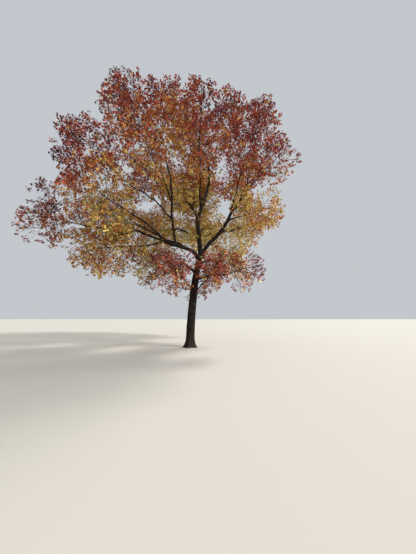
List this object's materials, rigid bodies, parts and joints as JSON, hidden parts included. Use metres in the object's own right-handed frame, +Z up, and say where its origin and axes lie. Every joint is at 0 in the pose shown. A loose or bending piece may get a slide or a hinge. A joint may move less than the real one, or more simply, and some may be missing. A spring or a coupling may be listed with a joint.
{
  "type": "maple tree",
  "caption": "Open-grown maple in autumn leaf: a flared trunk that forks into rising boughs under a broad, airy crown, cut off flat at the ground.",
  "frame": {"origin": "middle of the flat cut under the trunk, at ground level", "axes": "+Z up the trunk, +X to the right and +Y away, seen from the side that shows the fork's three limbs spread out"},
  "size_m": [14.8979, 12.5758, 15.7412],
  "materials": {
    "bark": "rough furrowed bark",
    "scarlet_leaves": "matt leaves",
    "gold_leaves": "matt leaves",
    "russet_leaves": "matt leaves",
    "crimson_leaves": "matt leaves"
  },
  "bodies": {
    "root": {"trunk": "bark", "leader_lower": "bark", "leader_upper": "bark", "left_limb": "bark", "left_riser": "bark", "right_limb": "bark", "right_riser": "bark", "bough_low_left": "bark", "bough_low_right": "bark", "bough_low_far_right": "bark", "bough_low_back_left": "bark", "bough_low_back_right": "bark", "bough_left_low": "bark", "bough_left_far": "bark", "bough_left_front": "bark", "bough_left_back": "bark", "bough_back_left": "bark", "bough_back": "bark", "bough_back_right": "bark", "bough_right_low": "bark", "bough_left_upper": "bark", "bough_front_left": "bark", "bough_front": "bark", "bough_front_right": "bark", "bough_right_upper": "bark", "bough_right_back_upper": "bark", "bough_back_upper": "bark", "bough_back_left_upper": "bark", "bough_inner_left": "bark", "bough_top_left": "bark", "bough_top_front": "bark", "bough_top_right": "bark", "bough_top_far_right": "bark", "foliage_low_left": "scarlet_leaves", "foliage_low_right": "scarlet_leaves", "foliage_low_far_right": "scarlet_leaves", "foliage_low_back_left": "gold_leaves", "foliage_low_back_right": "gold_leaves", "foliage_left_low": "gold_leaves", "foliage_left_far": "crimson_leaves", "foliage_left_front": "gold_leaves", "foliage_left_back": "crimson_leaves", "foliage_back_left": "gold_leaves", "foliage_back": "gold_leaves", "foliage_back_right": "gold_leaves", "foliage_right_low": "gold_leaves", "foliage_left_upper": "russet_leaves", "foliage_front_left": "russet_leaves", "foliage_front": "russet_leaves", "foliage_front_right": "russet_leaves", "foliage_right_upper": "russet_leaves", "foliage_right_back_upper": "russet_leaves", "foliage_back_upper": "russet_leaves", "foliage_back_left_upper": "russet_leaves", "foliage_inner_left": "russet_leaves", "foliage_top_left": "crimson_leaves", "foliage_top_front": "crimson_leaves", "foliage_top": "crimson_leaves", "foliage_top_right": "crimson_leaves", "foliage_top_far_right": "crimson_leaves"}
  },
  "joints": []
}
